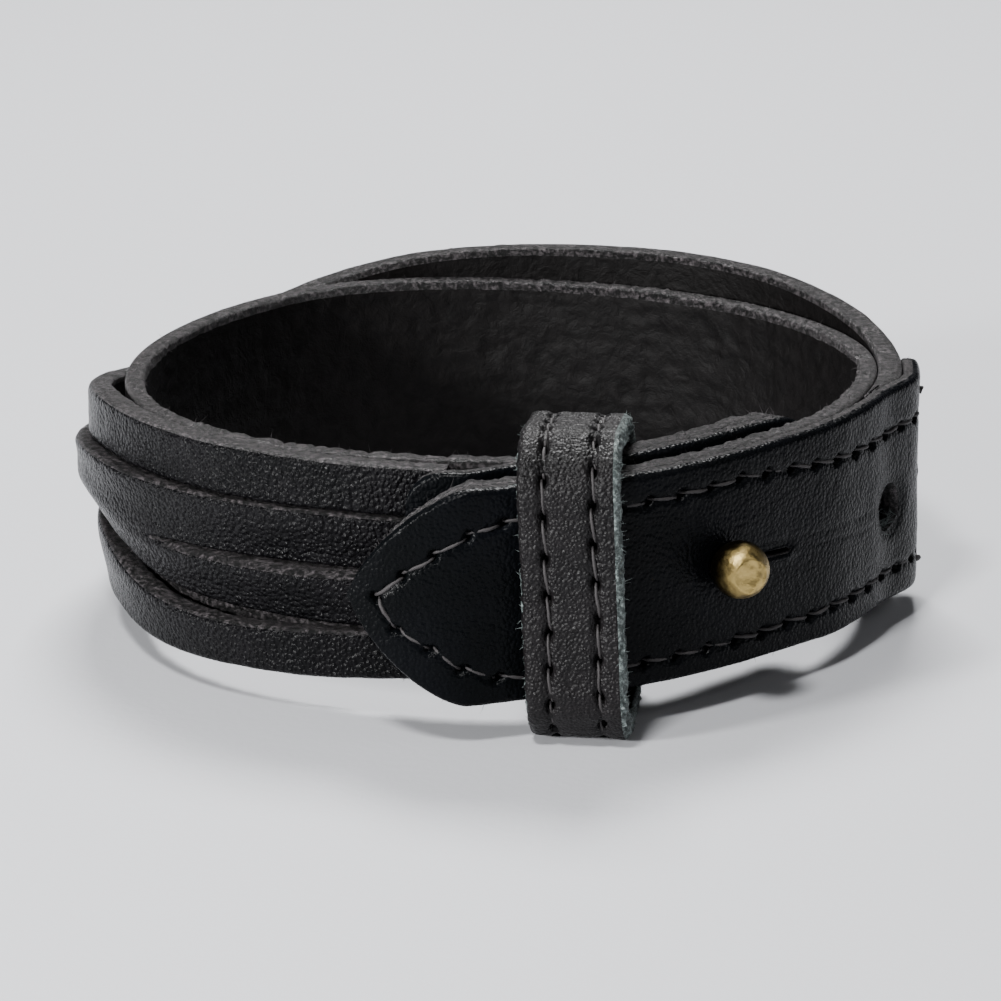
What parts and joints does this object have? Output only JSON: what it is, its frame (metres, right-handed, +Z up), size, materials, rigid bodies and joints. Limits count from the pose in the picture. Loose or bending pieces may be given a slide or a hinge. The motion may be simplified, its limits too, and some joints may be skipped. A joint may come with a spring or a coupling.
{
  "type": "leather cuff bracelet",
  "caption": "Closed leather cuff bracelet of lined, slit outer strips, with a pointed stitched tab, a ball stud in a keyhole and a loose keeper loop.",
  "frame": {"origin": "on the floor under the middle of the bracelet's box, as it lies on its side", "axes": "+Z up through the hollow, along the bracelet's own axis; the closure faces -Y and the pointed tip points to -X"},
  "size_m": [0.0702, 0.0712, 0.0249],
  "materials": {
    "lining_leather": "brown-black suede-like flesh side with a crinkled grain and raw fibrous edges",
    "strip_leather": "black dyed smooth leather with a fine grain and a soft sheen",
    "tab_leather": "black dyed smooth leather, slightly glossy, creased round the stud",
    "keeper_leather": "dark grey-brown worn leather with a fine pebbled grain and fuzzy grey edges",
    "brass": "antique brass, scratched and darkened at the rim",
    "thread": "waxed black sewing thread"
  },
  "bodies": {
    "root": {"lining": "lining_leather", "strip_top": "strip_leather", "strip_middle": "strip_leather", "strip_bottom": "strip_leather", "stud_tab": "tab_leather", "pointed_tab": "tab_leather", "stud": "brass", "keeper": "keeper_leather"}
  },
  "joints": []
}
